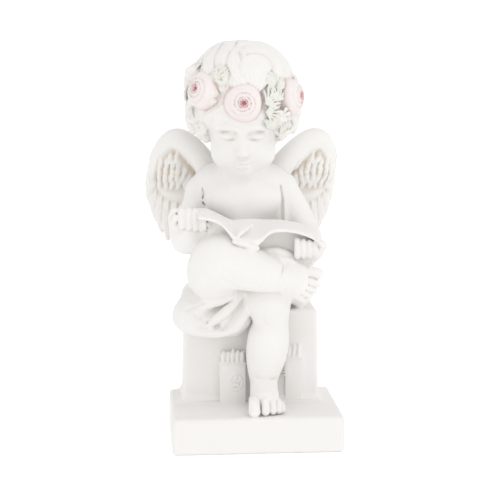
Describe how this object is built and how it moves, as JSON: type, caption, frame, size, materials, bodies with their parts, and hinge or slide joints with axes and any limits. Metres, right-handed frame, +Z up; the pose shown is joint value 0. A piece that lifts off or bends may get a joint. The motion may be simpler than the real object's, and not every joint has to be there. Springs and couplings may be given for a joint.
{
  "type": "stone cherub statue",
  "caption": "Seated winged cherub with a rose wreath reading an open book, cast in one piece with its block and slab.",
  "frame": {"origin": "centre of the slab's flat underside", "axes": "+Z up, the figure faces -Y, +X towards the figure's left"},
  "size_m": [0.1436, 0.1042, 0.2918],
  "materials": {
    "cast_stone": "matte cast surface with pale painted roses and leaves"
  },
  "bodies": {
    "root": {"cherub_statue": "cast_stone"}
  },
  "joints": []
}
